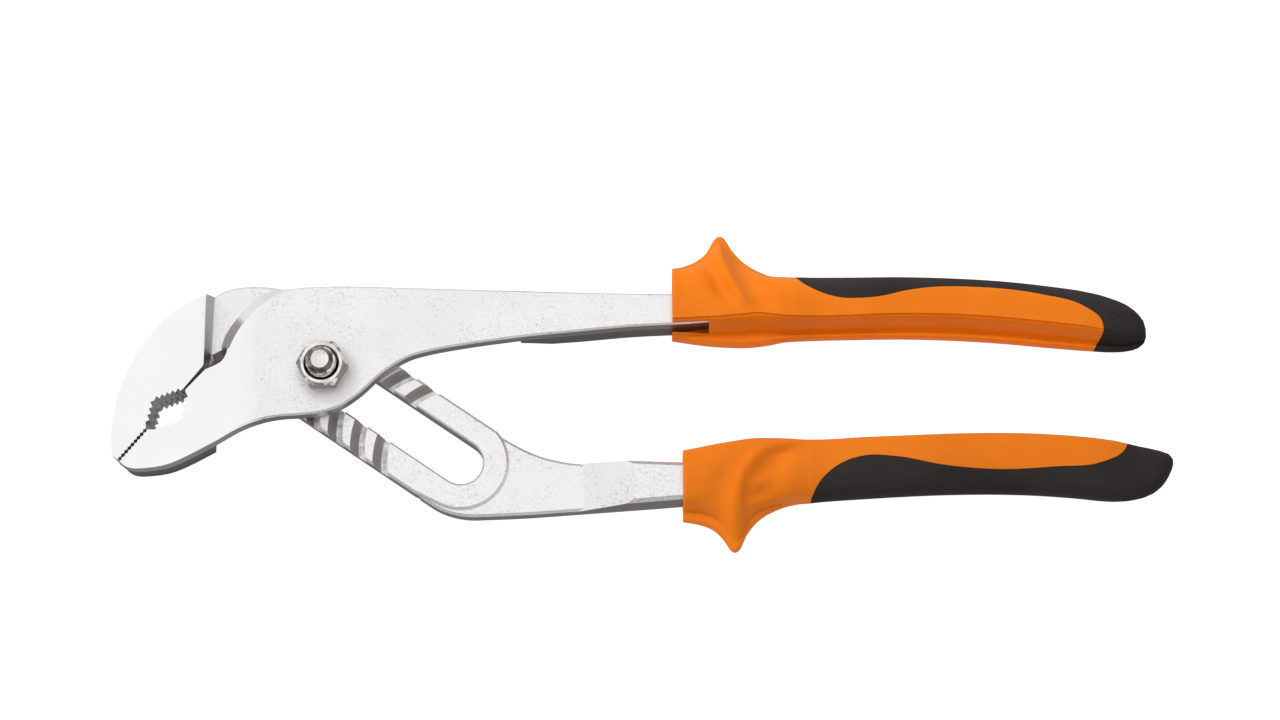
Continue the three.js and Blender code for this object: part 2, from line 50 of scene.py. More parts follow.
# ---------------------------------------------------------------- places taken from the frame
NUT_LOW, NUT_HIGH = (corner.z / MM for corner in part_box("hex_nut"))
BOLT_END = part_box("pivot_bolt")[1].z / MM
BOLT_HEAD_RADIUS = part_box("pivot_bolt")[1].x / MM
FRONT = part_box("tongue_arm")[1].z / MM  # front face of the jaws and of the upper tang
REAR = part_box("grooved_arm")[0].z / MM
GRIP_LOW, GRIP_HIGH = (corner.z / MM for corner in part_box("upper_grip_sleeve"))
HANDLE_MID = (GRIP_LOW + GRIP_HIGH) / 2
GRIP_HALF = GRIP_HIGH - HANDLE_MID

RAIL_TOP = REAR + 6.4  # the lands between the grooves
GROOVE_FLOOR = RAIL_TOP - 2.8
PLATE_REAR = RAIL_TOP + 0.3  # rear face of the tongue arm's plate, which lies on the grooved bar


# ---------------------------------------------------------------- camera, floor and light
def make_camera():
    """Looks down on the tool from the lower handle's side, nearly from above."""
    target = Vector((73.83, 3.16, 7.6)) * MM
    distance = 690 * MM
    elevation = math.radians(76.5)
    seen_width = 301.3 * MM  # what the frame's width takes in at the target
    data = bpy.data.cameras.new("camera")
    data.sensor_width = 36
    data.lens = data.sensor_width * distance / seen_width
    data.clip_start = 0.01
    camera = bpy.data.objects.new("camera", data)
    back = Vector((0, -math.cos(elevation), math.sin(elevation)))
    camera.location = target + back * distance
    camera.rotation_euler = back.to_track_quat("Z", "Y").to_euler()
    bpy.context.scene.collection.objects.link(camera)
    bpy.context.scene.camera = camera


def make_floor():
    """A plain white floor. Steel doesn't mirror it, so that upright steel walls read dark."""
    half_side = 3.0
    below_the_tool = 0.0003
    mesh = bpy.data.meshes.new("floor")
    corners = [(half_side * x, half_side * y, 0) for x, y in ((-1, -1), (1, -1), (1, 1), (-1, 1))]
    mesh.from_pydata(corners, [], [(0, 1, 2, 3)])
    floor = bpy.data.objects.new("floor", mesh)
    floor.location.z = -below_the_tool
    bpy.context.scene.collection.objects.link(floor)
    material = bpy.data.materials.new("floor")
    material.use_nodes = True
    shader = material.node_tree.nodes["Principled BSDF"]
    shader.inputs["Base Color"].default_value = (0.32, 0.32, 0.32, 1)
    shader.inputs["Roughness"].default_value = 0.9
    shader.inputs["Specular IOR Level"].default_value = 0.1
    shader.inputs["Emission Color"].default_value = (1, 1, 1, 1)
    shader.inputs["Emission Strength"].default_value = 0.94
    mesh.materials.append(material)
    floor.visible_glossy = False


def make_world():
    """A soft studio: bright overhead and towards the left rear, falling to grey below the horizon."""
    world = bpy.data.worlds.new("studio")
    world.use_nodes = True
    tree = world.node_tree
    background = tree.nodes["Background"]
    direction = tree.nodes.new("ShaderNodeTexCoord").outputs["Generated"]
    z = put(tree, "ShaderNodeSeparateXYZ", Vector=direction).outputs["Z"]
    left_rear = (-0.5, 0.6, 0)
    side = put(tree, "ShaderNodeVectorMath", {"operation": "DOT_PRODUCT"}, i0=direction, i1=left_rear)
    near_horizon = remap(tree, z, 0, 1, 1.3, 0, "LINEAR")
    lift = math_of(tree, "MULTIPLY", math_of(tree, "MAXIMUM", side.outputs["Value"], 0.0), near_horizon)
    height = remap(tree, math_of(tree, "ADD", z, lift), -1, 1, 0, 1, "LINEAR")
    ramp = put(tree, "ShaderNodeValToRGB", Fac=height)
    stops = [(0.0, 0.2), (0.42, 0.2), (0.52, 0.28), (0.62, 0.52), (0.76, 0.8), (1.0, 1.0)]
    elements = ramp.color_ramp.elements
    while len(elements) < len(stops):
        elements.new(0.5)
    for element, (place, value) in zip(elements, stops):
        element.position = place
        element.color = (value, value, value, 1)
    path = tree.nodes.new("ShaderNodeLightPath")
    tree.links.new(ramp.outputs["Color"], background.inputs["Color"])
    in_mirrors, on_matt = 1.1, 0.6
    strength = remap(tree, path.outputs["Is Diffuse Ray"], 0, 1, in_mirrors, on_matt, "LINEAR")
    tree.links.new(strength, background.inputs["Strength"])
    white = put(tree, "ShaderNodeBackground", Color=(1, 1, 1, 1), Strength=1.0)
    mix = put(tree, "ShaderNodeMixShader", i0=path.outputs["Is Camera Ray"], i1=background.outputs[0],
              i2=white.outputs[0])
    tree.links.new(mix.outputs[0], tree.nodes["World Output"].inputs["Surface"])
    bpy.context.scene.world = world


def make_softbox(name, place, target, size, power):
    data = bpy.data.lights.new(name, "AREA")
    data.shape = "RECTANGLE"
    data.size, data.size_y = size
    data.energy = power
    light = bpy.data.objects.new(name, data)
    light.visible_glossy = False
    light.location = Vector(place)
    light.rotation_euler = (Vector(place) - Vector(target)).to_track_quat("Z", "Y").to_euler()
    bpy.context.scene.collection.objects.link(light)


def make_studio():
    make_camera()
    make_floor()
    make_world()
    middle = (0.075, 0, 0)
    make_softbox("key", (-0.4, 0.42, 0.8), middle, (0.5, 0.35), 5.4)
    make_softbox("top", (0.1, 0.0, 1.1), middle, (1.2, 0.8), 1.5)
    bpy.context.scene.view_settings.view_transform = "Standard"


# ---------------------------------------------------------------- node helpers
def new_material(name):
    material = bpy.data.materials.new(name)
    material.use_nodes = True
    return material, material.node_tree, material.node_tree.nodes["Principled BSDF"]


def put(tree, kind, settings=None, **sockets):
    """A node with its sockets set by name, to a value or linked to another socket."""
    node = tree.nodes.new(kind)
    for key, value in (settings or {}).items():
        setattr(node, key, value)
    for key, value in sockets.items():
        socket = node.inputs[int(key[1:])] if key[0] == "i" and key[1:].isdigit() else node.inputs[key]
        if isinstance(value, bpy.types.NodeSocket):
            tree.links.new(value, socket)
        else:
            socket.default_value = value
    return node


def place_of(tree):
    """The point on the piece, in the row frame at rest, in metres."""
    return tree.nodes.new("ShaderNodeTexCoord").outputs["Object"]


def noise(tree, place, scale, detail=3.0, roughness=0.55):
    node = put(tree, "ShaderNodeTexNoise", Vector=place, Scale=scale, Detail=detail, Roughness=roughness)
    return node.outputs["Fac"]


def remap(tree, value, low, high, to_low, to_high, kind="SMOOTHSTEP"):
    node = put(tree, "ShaderNodeMapRange", {"interpolation_type": kind}, Value=value)
    for key, number in (("From Min", low), ("From Max", high), ("To Min", to_low), ("To Max", to_high)):
        node.inputs[key].default_value = number
    return node.outputs["Result"]


def math_of(tree, operation, first, second):
    return put(tree, "ShaderNodeMath", {"operation": operation}, i0=first, i1=second).outputs[0]


def product(tree, first, second):
    return math_of(tree, "MULTIPLY", first, second)


def blend_colour(tree, factor, first, second):
    node = put(tree, "ShaderNodeMix", {"data_type": "RGBA"})
    for socket, value in ((0, factor), (6, first), (7, second)):
        if isinstance(value, bpy.types.NodeSocket):
            tree.links.new(value, node.inputs[socket])
        else:
            node.inputs[socket].default_value = value
    return node.outputs[2]


def bump(tree, height, strength, distance, normal=None):
    node = put(tree, "ShaderNodeBump", Height=height)
    node.inputs["Strength"].default_value = strength
    node.inputs["Distance"].default_value = distance
    if normal is not None:
        tree.links.new(normal, node.inputs["Normal"])
    return node.outputs["Normal"]


# ---------------------------------------------------------------- materials
def steepness(tree, gentle, steep):
    """1 on upright walls, 0 on level faces."""
    facing = tree.nodes.new("ShaderNodeNewGeometry").outputs["Normal"]
    upright = put(tree, "ShaderNodeSeparateXYZ", Vector=facing).outputs["Z"]
    level = put(tree, "ShaderNodeMath", {"operation": "ABSOLUTE"}, i0=upright).outputs[0]
    return remap(tree, level, steep, gentle, 1.0, 0.0)


def steel_material(name, jaw_edge, edge_softness, with_painted_shadows):
    """Shot-blasted and plated forging, ground bright on the jaws, rough in the groove floors; painted
    shade darkens its upright walls and groove floors, and painted shadows fall beside the nut and along
    the plate's foot when asked for.
    """
    material, tree, shader = new_material(name)
    place = place_of(tree)
    split = put(tree, "ShaderNodeSeparateXYZ", Vector=place)
    x, z = split.outputs["X"], split.outputs["Z"]
    waver = product(tree, math_of(tree, "SUBTRACT", noise(tree, place, 90, 3.0), 0.5), 0.004)
    edge = math_of(tree, "ADD", x, waver)
    blasted = remap(tree, edge, jaw_edge * MM, (jaw_edge + edge_softness) * MM, 0.0, 1.0)

    grain = noise(tree, place, 3200, 3.0, 0.65)
    speckle = remap(tree, noise(tree, place, 1500, 4.0, 0.75), 0.51, 0.66, 0.0, 1.0)
    patches = remap(tree, noise(tree, place, 130, 3.0), 0.38, 0.66, 0.15, 1.0)
    cloud = noise(tree, place, 45, 4.0)
    cloudy = remap(tree, cloud, 0.35, 0.65, 0, 1)
    pale = blend_colour(tree, cloudy, (0.83, 0.825, 0.83, 1), (0.88, 0.875, 0.88, 1))
    grainy = product(tree, remap(tree, grain, 0.4, 0.62, 0, 1), product(tree, blasted, 0.5))
    fine = blend_colour(tree, grainy, pale, (0.74, 0.73, 0.73, 1))
    dots = product(tree, product(tree, speckle, patches), product(tree, blasted, 0.8))
    colour = blend_colour(tree, dots, fine, (0.50, 0.475, 0.46, 1))

    if with_painted_shadows:
        # Painted shadow of the nut: the plate is darkened in a soft round patch just below and to the
        # right of the nut.
        nut_shadow_centre = (0.0016, -0.0022, FRONT * MM)
        away = put(tree, "ShaderNodeVectorMath", {"operation": "DISTANCE"}, i0=place, i1=nut_shadow_centre)
        nut_shadow = remap(tree, away.outputs["Value"], 0.0052, 0.0082, 0.32, 0.0)
        colour = blend_colour(tree, nut_shadow, colour, (0.50, 0.45, 0.42, 1))
        # Painted contact shadow: a dark band on the plate's foot, just above where it rests on the
        # grooved bar.
        painted_contact_shadow = remap(tree, z, (PLATE_REAR + 0.35) * MM, (PLATE_REAR + 0.6) * MM, 0.85, 0.0)
        colour = blend_colour(tree, painted_contact_shadow, colour, (0.13, 0.105, 0.09, 1))

    # Groove floors darkened in a rough cast pattern, most at small x near the pivot: partly the floors'
    # own cast finish, partly painted shade of the recesses under the plate.
    low = remap(tree, z, GROOVE_FLOOR * MM - 0.0002, GROOVE_FLOOR * MM + 0.0005, 1.0, 0.0)
    above_rear = remap(tree, z, (REAR + 1.4) * MM, (REAR + 1.9) * MM, 0.0, 1.0)
    floor = product(tree, low, above_rear)
    cast = remap(tree, noise(tree, place, 420, 5.0, 0.7), 0.4, 0.62, 0.0, 1.0)
    along = remap(tree, x, 0.012, 0.03, 1.0, 0.25)
    floor_cast_and_shade = product(tree, floor, product(tree, cast, product(tree, along, 0.6)))
    colour = blend_colour(tree, floor_cast_and_shade, colour, (0.24, 0.225, 0.21, 1))
    # Painted shade: upright walls of the blasted steel are darker than its level faces.
    painted_wall_shade = product(tree, steepness(tree, 0.72, 0.4), product(tree, blasted, 0.62))
    colour = blend_colour(tree, painted_wall_shade, colour, (0.33, 0.295, 0.27, 1))
    tree.links.new(colour, shader.inputs["Base Color"])

    rough = math_of(tree, "ADD", remap(tree, cloud, 0.3, 0.7, 0.25, 0.32), product(tree, blasted, 0.12))
    tree.links.new(math_of(tree, "ADD", rough, product(tree, floor, 0.12)), shader.inputs["Roughness"])
    shader.inputs["Metallic"].default_value = 1.0

    drawn_out = put(tree, "ShaderNodeMapping", Vector=place, Scale=(1, 14, 1)).outputs[0]
    lap = noise(tree, drawn_out, 500, 2.0)
    normal = bump(tree, product(tree, grain, blasted), 0.5, 0.0001)
    normal = bump(tree, lap, 0.05, 0.00003, normal)
    normal = bump(tree, product(tree, cast, floor), 0.6, 0.0002, normal)
    normal = bump(tree, noise(tree, place, 110, 2.0), 0.04, 0.0005, normal)
    tree.links.new(normal, shader.inputs["Normal"])
    return material


def plated_material():
    """Bright zinc plating with fine turning marks and small stains, and painted shade on its sloped and
    upright faces.
    """
    material, tree, shader = new_material("plated_fastener")
    place = place_of(tree)
    stain = noise(tree, place, 260, 4.0, 0.65)
    streak = noise(tree, place, 330, 3.0, 0.6)
    stained = remap(tree, stain, 0.35, 0.7, 0.0, 1.0)
    colour = blend_colour(tree, stained, (0.84, 0.83, 0.82, 1), (0.62, 0.59, 0.57, 1))
    # Painted shade in streaks on every face of the nut and bolt that isn't level.
    streaky_painted_shade = product(tree, remap(tree, streak, 0.46, 0.56, 0, 1), steepness(tree, 0.99, 0.88))
    colour = blend_colour(tree, product(tree, streaky_painted_shade, 0.85), colour, (0.16, 0.13, 0.11, 1))
    # Painted shade: upright faces of the nut and bolt are nearly black.
    painted_wall_shade = product(tree, steepness(tree, 0.9, 0.5), 0.93)
    colour = blend_colour(tree, painted_wall_shade, colour, (0.05, 0.038, 0.03, 1))
    tree.links.new(colour, shader.inputs["Base Color"])
    shader.inputs["Metallic"].default_value = 1.0
    tree.links.new(remap(tree, stain, 0.3, 0.7, 0.13, 0.26), shader.inputs["Roughness"])
    rings = put(tree, "ShaderNodeTexWave", {"wave_type": "RINGS", "rings_direction": "Z"}, Vector=place,
                Scale=900.0, Distortion=0.6)
    normal = bump(tree, rings.outputs["Fac"], 0.05, 0.00002)
    normal = bump(tree, noise(tree, place, 700, 3.0), 0.12, 0.00008, normal)
    tree.links.new(normal, shader.inputs["Normal"])
    return material


def moulded_material(name, colour, darker, roughness, grain_depth):
    """Moulded plastic: fine spark-eroded grain, faint flow clouds, uneven sheen."""
    material, tree, shader = new_material(name)
    shader.inputs["Specular IOR Level"].default_value = 0.16
    place = place_of(tree)
    cloud = noise(tree, place, 45, 3.0)
    fine = noise(tree, place, 1900, 2.0, 0.6)
    tone = math_of(tree, "ADD", product(tree, cloud, 0.7), product(tree, fine, 0.3))
    mixed = blend_colour(tree, remap(tree, tone, 0.35, 0.65, 0.0, 1.0), colour, darker)
    tree.links.new(mixed, shader.inputs["Base Color"])
    sheen = remap(tree, cloud, 0.3, 0.7, roughness - 0.05, roughness + 0.06)
    tree.links.new(sheen, shader.inputs["Roughness"])
    normal = bump(tree, fine, 0.3, grain_depth)
    normal = bump(tree, noise(tree, place, 380, 2.0), 0.1, 0.0001, normal)
    tree.links.new(normal, shader.inputs["Normal"])
    return material


# ---------------------------------------------------------------- mesh helpers
def mesh_object(name, points_mm, faces, material, sharp_degrees=35):
    """A piece from points in millimetres, with doubled points joined and its faces turned outwards."""
    mesh = bpy.data.meshes.new(name)
    mesh.from_pydata((np.asarray(points_mm) * MM).tolist(), [], faces)
    work = bmesh.new()
    work.from_mesh(mesh)
    bmesh.ops.remove_doubles(work, verts=work.verts, dist=1e-7)
    bmesh.ops.dissolve_degenerate(work, dist=1e-8, edges=work.edges)
    bmesh.ops.recalc_face_normals(work, faces=work.faces)
    work.to_mesh(mesh)
    work.free()
    mesh.materials.append(material)
    piece = bpy.data.objects.new(name, mesh)
    bpy.context.scene.collection.objects.link(piece)
    shade(mesh, sharp_degrees)
    return piece


def shade(mesh, sharp_degrees):
    mesh.polygons.foreach_set("use_smooth", [True] * len(mesh.polygons))
    mesh.set_sharp_from_angle(angle=math.radians(sharp_degrees))


def apply_modifiers(piece):
    graph = bpy.context.evaluated_depsgraph_get()
    made = bpy.data.meshes.new_from_object(piece.evaluated_get(graph), depsgraph=graph)
    piece.modifiers.clear()
    piece.data = made


def cut(piece, tool, operation="DIFFERENCE"):
    """Cuts the piece by the tool, or keeps only what they share."""
    modifier = piece.modifiers.new("cut", "BOOLEAN")
    modifier.operation = operation
    modifier.object = tool
    modifier.solver = "MANIFOLD"
    apply_modifiers(piece)


def discard(*objects):
    for item in objects:
        bpy.data.objects.remove(item)


def prism(name, outline, low, high):
    """An upright prism: outline in X and Y, from low to high, in millimetres."""
    count = len(outline)
    points = [(x, y, low) for x, y in outline] + [(x, y, high) for x, y in outline]
    faces = [tuple(range(count))[::-1], tuple(range(count, 2 * count))]
    faces += [(i, (i + 1) % count, count + (i + 1) % count, count + i) for i in range(count)]
    return mesh_object(name, points, faces, STEEL)


def spun(name, rings, material, sharp_degrees=35):
    """A closed skin through rings of points. The first and last rings are closed by a fan."""
    count = len(rings[0])
    points = [point for ring in rings for point in ring]
    faces = []
    for r in range(len(rings) - 1):
        for k in range(count):
            a, b = r * count + k, r * count + (k + 1) % count
            faces.append((a, b, b + count, a + count))
    for ring in (0, len(rings) - 1):
        hub = np.mean(rings[ring], axis=0)
        points.append(tuple(hub))
        start = ring * count
        faces += [(start + k, start + (k + 1) % count, len(points) - 1) for k in range(count)]
    return mesh_object(name, points, faces, material, sharp_degrees)


def ring_band(name, rings, material, sharp_degrees=35):
    """A closed band: each ring of points is joined to the following one, and the last to the first."""
    count = len(rings[0])
    points = [point for ring in rings for point in ring]
    faces = []
    for r in range(len(rings)):
        following = (r + 1) % len(rings)
        for k in range(count):
            a, b = k, (k + 1) % count
            faces.append((r * count + a, r * count + b, following * count + b, following * count + a))
    return mesh_object(name, points, faces, material, sharp_degrees)


def curve(points):
    """A smooth function through the points, each [place, value]."""
    xs, ys = np.array(points, float).T
    gaps = np.diff(xs)
    rises = np.diff(ys) / gaps
    inner = (rises[:-1] * gaps[1:] + rises[1:] * gaps[:-1]) / (gaps[:-1] + gaps[1:])
    slopes = np.concatenate([rises[:1], inner, rises[-1:]])

    def value(x):
        x = np.clip(np.asarray(x, float), xs[0], xs[-1])
        i = np.clip(np.searchsorted(xs, x) - 1, 0, len(xs) - 2)
        width = xs[i + 1] - xs[i]
        t = (x - xs[i]) / width
        a, b, rise = slopes[i] * width, slopes[i + 1] * width, ys[i + 1] - ys[i]
        return ys[i] + t * (a + t * (3 * rise - 2 * a - b + t * (a + b - 2 * rise)))

    return value


def flowing(points, steps=8):
    """A smooth run of points in the plane through the given ones."""
    points = np.array(points, float)
    place = np.concatenate([[0], np.cumsum(np.hypot(*np.diff(points, axis=0).T))])
    along = np.linspace(0, place[-1], (len(points) - 1) * steps + 1)
    x = curve(np.column_stack([place, points[:, 0]]))(along)
    y = curve(np.column_stack([place, points[:, 1]]))(along)
    return list(zip(x.tolist(), y.tolist()))


# ---------------------------------------------------------------- nut and bolt
NUT_FLATS = 10.5  # width across flats
THREAD_RADIUS = 3.5
THREAD_PITCH = 1.0
THREAD_DEPTH = 0.55
SHOULDER_RADIUS = 4.85
ANGLES = np.linspace(0, 2 * math.pi, 120, endpoint=False)


def ring_at(radius, height):
    """One ring of points round the bolt's axis; the radius and the height may change along it."""
    radii, heights = np.broadcast_to(radius, ANGLES.shape), np.broadcast_to(height, ANGLES.shape)
    return [(r * math.cos(a), r * math.sin(a), z) for r, a, z in zip(radii, ANGLES, heights)]


def make_bolt():
    """A round head, a shoulder, and a threaded end whose thread runs out on the end chamfer."""
    head, height = BOLT_HEAD_RADIUS, 2.2
    profile = [
        (0.5, 0), (head - 2.2, 0), (head - 1.0, 0.12), (head - 0.35, 0.5), (head, 1.1), (head, 1.9),
        (head - 0.2, height), (SHOULDER_RADIUS + 0.05, height), (SHOULDER_RADIUS, height + 0.15),
        (SHOULDER_RADIUS, RAIL_TOP), (THREAD_RADIUS, RAIL_TOP),
    ]
    rings = [ring_at(radius, z) for radius, z in profile]
    thread_from = NUT_LOW - 2.5
    end_flat = 2.0
    for z in np.arange(thread_from, BOLT_END, 0.08):
        turn = (z / THREAD_PITCH - ANGLES / (2 * math.pi)) % 1.0
        tooth = np.clip(1.25 - np.abs(turn - 0.5) * 3.4, 0, 1)
        fade = min(1.0, (z - thread_from) / THREAD_PITCH)
        radius = THREAD_RADIUS - THREAD_DEPTH * fade * (1 - tooth)
        chamfer = end_flat + 0.05 + (BOLT_END - z) * 0.9
        rings.append(ring_at(np.minimum(radius, chamfer), z))
    end = [(end_flat, 0), (end_flat - 0.25, 0.02), (0.4, 0.06)]  # slightly dished
    rings += [ring_at(radius, BOLT_END - dish) for radius, dish in end]
    bolt = spun("threaded_bolt", rings, PLATED, 40)
    finish_piece(bolt, "pivot", "pivot_bolt")


def make_nut():
    """A hexagon nut with turned chamfers at both faces and a countersunk, threaded bore."""
    sector = math.pi / 3
    worn_corner = NUT_FLATS / math.sqrt(3) - 0.08
    hexagon = np.minimum(NUT_FLATS / 2 / np.cos((ANGLES % sector) - sector / 2), worn_corner)
    face_radius = NUT_FLATS / 2 - 0.45
    chamfer = math.tan(math.radians(33))
    low_chamfer = chamfer * 0.5
    bore = THREAD_RADIUS + 0.12
    low_sink, high_sink = 0.4, 0.5  # depths of the countersinks
    bore_steps = 6

    def drop(radius, slope):
        return slope * np.maximum(0, radius - face_radius)

    rings = [ring_at(bore, NUT_LOW + low_sink), ring_at(bore + 0.35, NUT_LOW)]
    for share in (0.0, 0.5, 1.0):
        radius = face_radius + (hexagon - face_radius) * share
        rings.append(ring_at(radius, NUT_LOW + drop(radius, low_chamfer)))
    for share in (1.0, 0.66, 0.33, 0.0):
        radius = face_radius + (hexagon - face_radius) * share
        rings.append(ring_at(radius, NUT_HIGH - drop(radius, chamfer)))
    rings.append(ring_at(face_radius - 0.15, NUT_HIGH))
    rings.append(ring_at(bore + 0.55, NUT_HIGH))
    rings.append(ring_at(bore, NUT_HIGH - high_sink))
    step_height = (NUT_HIGH - NUT_LOW - low_sink - high_sink) / (bore_steps + 1)
    for step in range(bore_steps):
        crest = 0.0 if step % 2 else 0.02
        rings.append(ring_at(bore - crest, NUT_HIGH - high_sink - (step + 1) * step_height))
    nut = ring_band("chamfered_nut", rings, PLATED, 22)
    finish_piece(nut, "pivot", "hex_nut")


def finish_piece(piece, body, node):
    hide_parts(node)
    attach(piece, body)


# ---------------------------------------------------------------- grips
# "outer" is the edge away from the other handle, "inner" the edge towards it, "ridge" the crest where
# the front face turns into the inner side, and "shoulder" the body's outer edge, beyond which only the
# guard stands. "rib" is the line of the guard's rib, as [y, x]. Each wave of "relief" runs beside it:
# height, distance from the rib, width, and where it starts and ends across the grip, and how softly.
UPPER = {
    "prefix": "upper",
    "body": "tongue_side",
    "side": 1,
    "outer": [
        [81.4, 25.0], [83.3, 25.4], [85.7, 26.2], [88.1, 27.6], [89.5, 29.0], [90.3, 30.3],
        [90.9, 31.5], [91.4, 32.3], [92.0, 32.85], [92.6, 33.0], [93.3, 32.9], [93.9, 32.4],
        [94.5, 31.5], [95.4, 29.9], [96.6, 28.4], [98.0, 26.9], [99.9, 25.5], [102.3, 24.2],
        [104.6, 23.3], [107.4, 22.8], [112, 22.7], [123.5, 22.7], [135.4, 22.8], [147.2, 22.5],
        [159.0, 21.8], [170.8, 20.5], [178.4, 19.4], [182.6, 18.5], [186.3, 17.3], [188.6, 16.2],
        [190.5, 14.8], [191.9, 13.2], [192.7, 11.6], [193.0, 10.3],
    ],
    "inner": [
        [81.4, 7.9], [85.6, 7.2], [90.3, 6.6], [95.0, 6.3], [99.3, 6.25], [102.6, 6.6],
        [105.6, 7.1], [109.2, 7.5], [116.2, 7.8], [125.7, 8.0], [135.1, 8.1], [146.9, 7.8],
        [158.6, 7.1], [170.4, 6.0], [180.2, 5.2], [184.4, 4.95], [187.7, 5.05], [190.1, 5.5],
        [191.8, 6.4], [192.7, 7.5], [193.0, 8.4],
    ],
    "ridge": [
        [81.4, 11.4], [92.5, 11.8], [97.2, 12.2], [101.9, 12.6], [105.4, 12.2], [108.9, 11.9],
        [115.9, 11.9], [134.6, 12.5], [150.0, 12.2], [165.6, 10.9], [173.3, 10.1], [181.7, 9.2],
        [187.0, 8.4], [193.0, 8.9],
    ],
    "shoulder": [
        [81.4, 24.7], [86, 25.3], [89.5, 27.6], [91.4, 30.6], [92.6, 31.6], [93.8, 30.6],
        [96.6, 27.2], [99.9, 24.9], [104.6, 23.0], [108, 22.7],
    ],
    "squareness": [
        [81.4, 3.4], [86, 2.9], [92.6, 1.75], [99, 2.0], [106, 2.5], [112, 2.5], [193, 2.4],
    ],
    "seam": [
        [109, 24.5], [111.3, 20.8], [115.8, 17.9], [121.1, 16.3], [125.1, 16.2], [130.3, 16.7],
        [135.9, 18.1], [142.5, 19.1], [152.3, 19.2], [167.8, 17.4], [177.3, 14.7], [181.8, 11],
        [182.2, 9], [180.7, 5.6], [179, 2],
    ],
    "beyond_seam": [[179, -12], [215, -12], [215, 45], [109, 45]],
    "guard_at": 92.6,
    "relief": [
        (1.0, 0, 1.5, 12.2, 36, 4),
        (-1.5, -3.4, 2.1, 14, 29, 4),
        (-1.6, 4.4, 2.7, 12.2, 30, 3),
    ],
    "rib": [[12.0, 100.2], [15.7, 97.7], [19.3, 95.8], [23.0, 94.2], [26.6, 93.1], [33.0, 92.4]],
    "tang": [
        [70, 9.5], [84, 10.3], [91, 11.1], [97, 12.5], [140, 13.4], [162, 13.6], [162, 17.6],
        [112, 18.4], [84, 17.8], [70, 18.1],
    ],
}
LOWER = {
    "prefix": "lower",
    "body": "grooved_side",
    "side": -1,
    "outer": [
        [83.8, -35.7], [85.9, -36.0], [87.8, -36.4], [89.6, -37.0], [91.2, -37.9], [92.6, -39.2],
        [93.8, -40.8], [94.6, -42.1], [95.3, -42.75], [95.9, -42.9], [96.5, -42.7], [97.1, -42.0],
        [97.7, -40.8], [98.3, -39.4], [99.3, -37.8], [100.7, -36.1], [102.6, -34.5], [105.0, -33.2],
        [107.5, -32.2], [110.3, -31.6], [113.3, -31.2], [127.3, -30.1], [145.9, -29.2],
        [157.6, -29.1], [166.9, -29.4], [176.1, -30.1], [181.9, -30.7], [185.0, -30.8],
        [188.9, -30.4], [192.0, -29.5], [194.4, -28.1], [196.2, -26.2], [197.3, -24.3],
        [197.9, -22.9], [198.1, -22.2],
    ],
    "inner": [
        [83.8, -19.1], [90.2, -17.9], [96.0, -16.9], [100.0, -16.35], [103.0, -16.3],
        [107.7, -16.4], [111.9, -16.6], [117.3, -16.5], [125.0, -16.0], [134.6, -15.6],
        [151.9, -15.0], [160.6, -15.0], [167.1, -15.2], [173.4, -15.6], [179.9, -16.2],
        [186.4, -17.1], [192.9, -18.4], [195.9, -19.2], [197.5, -20.1], [198.1, -21.0],
    ],
    "ridge": [
        [83.8, -20.9], [90, -19.8], [96, -18.8], [100, -18.2], [107, -18.2], [112, -18.4],
        [125, -17.8], [134, -17.4], [152, -16.8], [160, -16.8], [167, -17.0], [180, -18.0],
        [186, -18.9], [193, -20.0], [198.1, -21.4],
    ],
    "shoulder": [
        [83.8, -33.2], [87.8, -33.6], [90.8, -35.1], [93.1, -37.7], [94.4, -40.4], [95.4, -41.4],
        [96.3, -41.5], [97.1, -40.6], [97.9, -37.9], [99.6, -35.1], [102.6, -32.9], [105.2, -32.0],
        [108.7, -31.5], [113.3, -31.2],
    ],
    "squareness": [
        [83.8, 3.4], [88, 2.8], [93, 1.8], [98, 1.8], [101, 2.3], [105, 2.8], [113, 2.3],
        [122, 2.3], [198.1, 2.3],
    ],
    "seam": [
        [112.6, -34], [113, -32.3], [115.6, -26.9], [120.5, -23], [126, -21.3], [132.8, -21.5],
        [144.5, -23.5], [157.4, -24.4], [170.1, -23.8], [180.1, -22.9], [185.3, -20.5],
        [188.5, -14],
    ],
    "beyond_seam": [[188.5, 0], [215, 0], [215, -55], [112.6, -55]],
    "guard_at": 95.9,
    "relief": [
        (0.9, 0, 1.9, 18.5, 40, 4),
        (-0.4, -4.5, 2.2, 22, 33, 4),
        (-1.5, 5.5, 3.6, 18.2, 33, 3),
    ],
    "rib": [[-33.0, 95.3], [-29.0, 96.4], [-24.8, 98.0], [-21.3, 100.4], [-18.0, 103.2]],
    "tang": [
        [70, -22], [86, -22.7], [112, -21.2], [166, -20.4], [166, -24.2], [112, -26.4], [86, -31.1],
        [70, -32.4],
    ],
}
# Share of the way from the ridge to the inner edge, and the half thickness there.
UPPER_INNER_SIDE = curve([
    [0, 1], [0.015, 0.985], [0.035, 0.935], [0.058, 0.93], [0.085, 0.955], [0.12, 0.938], [0.22, 0.83],
    [0.36, 0.62], [0.5, 0.41], [0.6, 0.275], [0.67, 0.205], [0.71, 0.2], [0.76, 0.25], [0.82, 0.265],
    [0.9, 0.255], [0.96, 0.19], [1, 0],
])
LOWER_INNER_SIDE = curve([
    [0, 1], [0.12, 0.985], [0.28, 0.93], [0.45, 0.84], [0.62, 0.71], [0.78, 0.54], [0.9, 0.36],
    [0.96, 0.23], [1, 0],
])
GUARD_HALF = 1.8
GUARD_EDGE = 0.8  # rounding of the guard's rim
GUARD_REACH = 17  # how far along the grip the guard's rim goes, to each side
COLLAR_END = 117  # the front swells over the collar up to here
TAPER_LENGTH = 34  # the grip grows thinner over its last stretch
